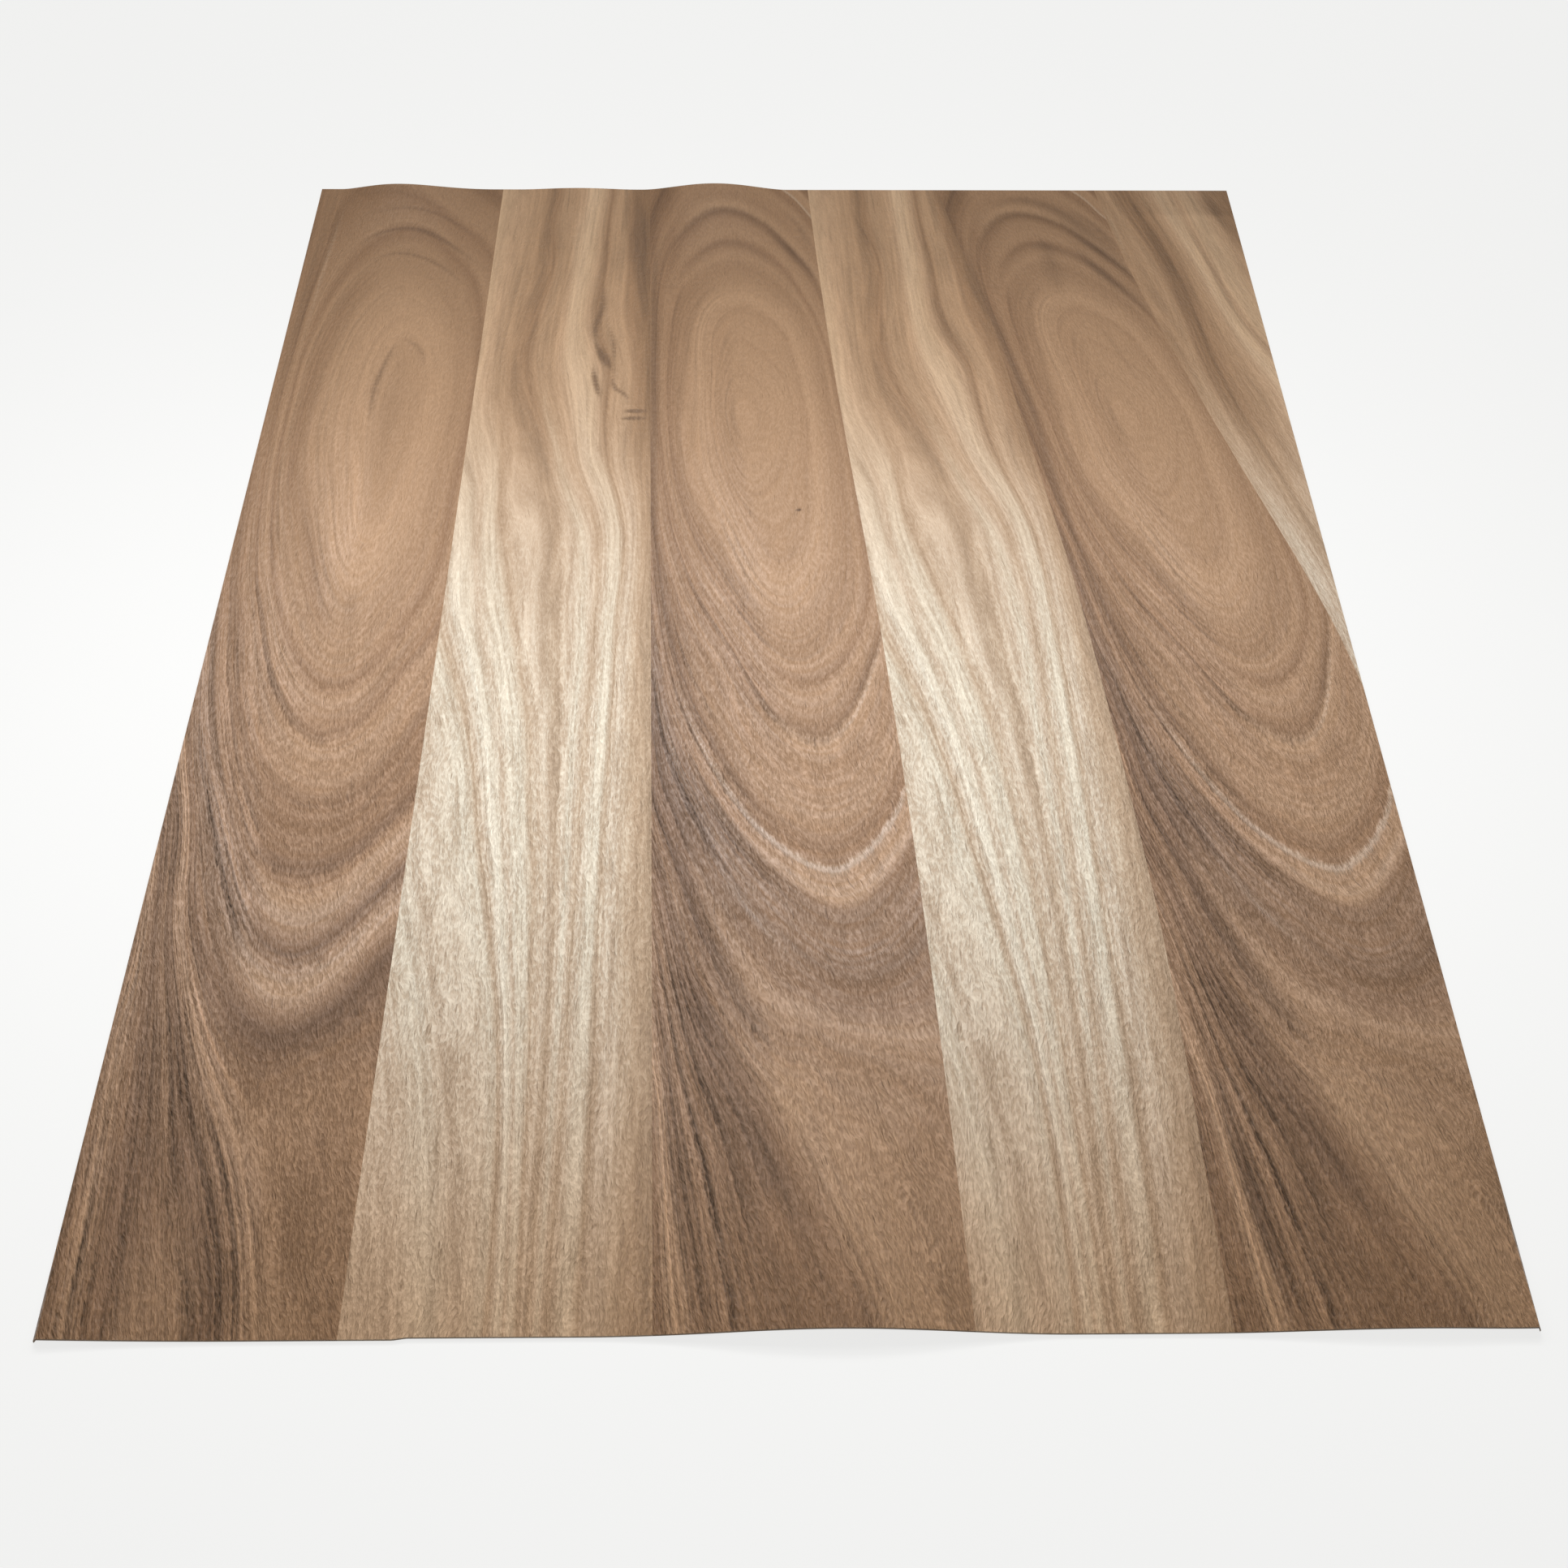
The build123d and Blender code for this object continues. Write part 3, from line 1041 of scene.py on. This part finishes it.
# Dark streaks, knots and nicks of each leaf, and its pale lines, as on the dark leaves
pale_marks = {
    2: [
        (0.20, 9.0, [(-120, 160), (-116, 130), (-106, 105), (-99, 80), (-93, 52)]),
        (0.40, 7.0, [(-72, 303), (-70, 270), (-68, 235)]),
        (0.75, 3.5, [(-69, 303), (-67, 275), (-66, 245), (-64, 215), (-62, 190)]),
        (0.35, 3.0, [(-112, 252), (-112, 229), (-114, 206), (-116, 185), (-115, 150)]),
        (0.90, 2.0, [(-83, 226), (-83, 205), (-85, 190), (-84, 178)]),
        (1.05, 2.6, [(-84, 180), (-80, 169), (-75, 159)]),
        (0.90, 1.5, [(-75, 160), (-73, 146), (-69, 142), (-67, 136)]),
        (0.75, 1.2, [(-79, 194), (-76, 180), (-75, 164)]),
        (1.00, 1.6, [(-85, 164), (-83, 151), (-80, 138)]),
        (1.60, 1.3, [(-70, 131), (-64, 131), (-58, 131)]),
        (1.50, 1.3, [(-71, 126), (-65, 126), (-58, 126)]),
        (0.40, 1.5, [(-63, 182), (-60, 162), (-59, 143)]),
        (0.45, 1.2, [(-81, 113), (-78, 101), (-76, 96)]),
        (0.85, 0.9, [(-61, -267), (-61, -269)]),
        (0.45, 1.2, [(-122, 102), (-119, 75), (-117, 50), (-112, 22)]),
        (0.28, 2.0, [(-98, 78), (-94, 60), (-92, 45)]),
        (0.45, 1.8, [(-67, -150), (-65, -200), (-64, -250), (-63, -303)]),
        (0.40, 1.0, [(-107, -170), (-105, -195), (-101, -215)]),
        (0.35, 1.2, [(-97, -110), (-96, -150), (-97, -180)]),
        (0.50, 1.0, [(-99, -178), (-97, -190)]),
    ],
    4: [
        (0.15, 6.0, [(45, 195), (48, 160), (56, 132), (65, 106), (74, 78), (80, 50)]),
        (0.55, 1.2, [(37, 292), (41, 274), (45, 262), (49, 249)]),
        (0.60, 2.2, [(76, 224), (77, 205), (80, 190), (84, 178), (88, 167)]),
        (0.60, 1.8, [(83, 303), (85, 285), (89, 265), (93, 245)]),
        (0.55, 2.8, [(90, 252), (93, 232), (96, 214), (100, 196)]),
        (0.45, 1.2, [(50, 92), (52, 72), (56, 52), (62, 26), (68, 2)]),
        (0.32, 2.6, [(76, 74), (80, 60), (81, 45)]),
        (0.45, 1.8, [(113, -150), (115, -200), (116, -250), (116, -303)]),
        (0.35, 1.2, [(79, -165), (83, -190), (86, -215)]),
    ],
    6: [
        (0.50, 5.0, [(180, 290), (186, 262), (192, 235), (197, 200), (200, 180)]),
        (0.22, 5.0, [(203, 160), (210, 142), (219, 118), (227, 90)]),
        (0.45, 5.0, [(216, 303), (221, 285), (227, 262)]),
        (0.35, 1.0, [(204, 280), (208, 255), (212, 235), (216, 210)]),
    ],
}
pale_bleaches = {
    2: [
        (0.5, 3.0, [(-97, 290), (-97, 250), (-97, 215)]),
        (0.5, 1.5, [(-104, 156), (-105, 137), (-101, 118), (-96, 98), (-93, 82)]),
    ],
    4: [(0.3, 3.0, [(62, 290), (65, 255), (68, 225)])],
    6: [
        (0.5, 1.5, [(163, 297), (168, 270), (171, 245)]),
        (0.4, 3.0, [(210, 75), (218, 40), (225, 0)]),
        (0.35, 12.0, [(187, 170), (197, 120), (208, 70), (220, 20)]),
    ],
}

pale_hue = {"stain": (0.26, 0.152, 0.083), "bleach": ivory, "pore": (0.24, 0.14, 0.08)}
pale_settings = {
    "ragged": 2.0,
    "drift": 3.0,
    "rings": 0.40,
    "ring_depth": 0.6,
    "flow": 0.50,
    "flow_depth": 0.17,
    "broad_depth": 0.45,
    "fine_depth": 0.26,
    "pores": 0.18,
    "pore_depth": 0.4,
    # How the painted sheen follows the grain and the wood's brightness, and the colour it adds
    "painted_sheen_glitter": 0.15,
    "painted_sheen_loss_on_dark": 0.45,
    "painted_sheen_gain": (0.12, 0.50, 1.02),
    "bump": 0.8,
    "roughness": 0.42,
    "specular": 0.25,
}

pale_edge = cut_edge("pale_leaf_edge", (0.55, 0.42, 0.30))
pale_face = veneer(
    "pale_leaf_face", streaky_bands, streaky_back_bands, pale_hue, pale_settings
)
last_face = veneer("last_leaf_face", last_bands, last_back_bands, pale_hue, pale_settings)

# The line that the fibres of leaf 4 keep to
fibre_rows = [-300, -150, -70, 0, 25, 62, 90, 118, 146, 180, 245, 300]
fibre_course = [101, 99, 94, 88, 85, 79, 71, 63, 52, 46, 48, 42]

# Leaf 2's figure lies this far to the left of leaf 4's
slip_2_rows = [-100, 0, 50, 95, 165, 300]
slip_2 = [180, 177, 173, 171, 165, 152]

# The back of a pale leaf, where its second set of tones holds, starts here
back_start = 105.0

# Leaf 6 has a darker strip along the back edge, with a straight border in front and on its left
strip_depth = 0.28
strip_front = 283.0
strip_left = 177.0

for number in (2, 4, 6):
    x, y = leaf_grid(number)
    own_x = x + np.interp(y, slip_2_rows, slip_2) if number == 2 else x
    ring = figure(last_streaky if number == 6 else streaky, own_x, y)
    course = seam_at(seams[-1], y) if number == 6 else np.interp(y, fibre_rows, fibre_course)
    fields = {
        "ring": ring,
        "across": own_x - course,
        "packed": fading(y, back_start, -15),
        "coarse": coarseness(y),
        "lined": np.ones_like(x),
        # painted sheen: a band of painted highlight across the leaf
        "silk": painted_sheen_band(y, 0.95),
        "stain": strokes(pale_marks[number], x, y),
        "bleach": strokes(pale_bleaches[number], x, y),
    }
    if number == 6:
        strip = fading(y, strip_front, -0.8) * fading(x, strip_left, -1.5)
        fields["stain"] += strip_depth * strip
    face = last_face if number == 6 else pale_face
    finish_leaf(number, "pale", x, y, fields, face, pale_edge)


# The floor, the lights and the camera
#
# A white sheet of paper on a studio table. A broad soft box hangs over it and a long one stands
# behind, low enough that its light glances off the raised fibres towards the camera. Metres.

floor_half = 6.0
floor_drop = 0.0003
floor_mesh = bpy.data.meshes.new("studio_floor")
floor_corners = [
    (-floor_half, -floor_half, -floor_drop),
    (floor_half, -floor_half, -floor_drop),
    (floor_half, floor_half, -floor_drop),
    (-floor_half, floor_half, -floor_drop),
]
floor_mesh.from_pydata(floor_corners, [], [(0, 1, 2, 3)])
floor = bpy.data.objects.new("studio_floor", floor_mesh)
bpy.context.scene.collection.objects.link(floor)

# How much of its own white the paper shows to the camera. The rest is lit and shadowed.
paper_glow = 0.79

paper = Finish(bpy.data.materials.new("white_paper"))
seen = paper.node("ShaderNodeLightPath", output="Is Camera Ray")
seen = seen + paper.node("ShaderNodeLightPath", output="Is Glossy Ray")
matt = paper.node("ShaderNodeBsdfDiffuse", {}, {"Color": (0.90, 0.90, 0.89, 1)})
glow = paper.node("ShaderNodeEmission", {}, {"Color": (1.0, 1.0, 0.99, 1), "Strength": 1.0})
paper_look = paper.node("ShaderNodeMixShader", {}, {0: seen * paper_glow, 1: matt, 2: glow})
paper.node("ShaderNodeOutputMaterial", {}, {"Surface": paper_look})
floor_mesh.materials.append(paper.owner)

air = Finish(bpy.data.worlds.new("studio_air"))
sight = air.node("ShaderNodeLightPath", output="Is Camera Ray")
fill = air.node("ShaderNodeBackground", {}, {"Color": (1, 1, 1, 1), "Strength": 0.10})
backdrop = air.node("ShaderNodeBackground", {}, {"Color": (0.97, 0.97, 0.965, 1), "Strength": 1.0})
air_look = air.node("ShaderNodeMixShader", {}, {0: sight, 1: fill, 2: backdrop})
air.node("ShaderNodeOutputWorld", {}, {"Surface": air_look})
bpy.context.scene.world = air.owner


def soft_box(name, place, aim, width, height, watts):
    """A rectangular lamp that faces the point it is aimed at and isn't seen by the camera."""
    lamp = bpy.data.lights.new(name, "AREA")
    lamp.shape = "RECTANGLE"
    lamp.size = width
    lamp.size_y = height
    lamp.energy = watts
    holder = bpy.data.objects.new(name, lamp)
    holder.location = place
    holder.rotation_euler = (Vector(aim) - Vector(place)).to_track_quat("-Z", "Y").to_euler()
    holder.visible_camera = False
    bpy.context.scene.collection.objects.link(holder)
    return holder


overhead = soft_box(
    "overhead_box", (-0.05, -0.04, 0.30), (-0.05, -0.04, 0.0), width=0.6, height=0.24, watts=1.24
)
overhead.visible_glossy = False
soft_box(
    "back_box", (-0.1, 1.45, 1.70), (0.0, -0.05, 0.0), width=1.6, height=0.40, watts=16.0
)

# The camera stands in front of the sheet and looks down on it, in degrees and millimetres of lens
camera_place = Vector((-0.0096, -0.5506, 0.5567))
camera_pitch = 50.13
camera_yaw = 1.20
camera_roll = 0.79
camera_lens = 44.27
camera_data = bpy.data.cameras.new("camera")
camera_data.lens = camera_lens
camera_data.sensor_width = 36.0
camera_data.clip_start = 0.01
camera = bpy.data.objects.new("camera", camera_data)
camera.matrix_world = (
    Matrix.Translation(camera_place)
    @ Matrix.Rotation(radians(-camera_yaw), 4, "Z")
    @ Matrix.Rotation(radians(90 - camera_pitch), 4, "X")
    @ Matrix.Rotation(radians(camera_roll), 4, "Z")
)
bpy.context.scene.collection.objects.link(camera)
bpy.context.scene.camera = camera
bpy.context.scene.view_settings.view_transform = "Standard"
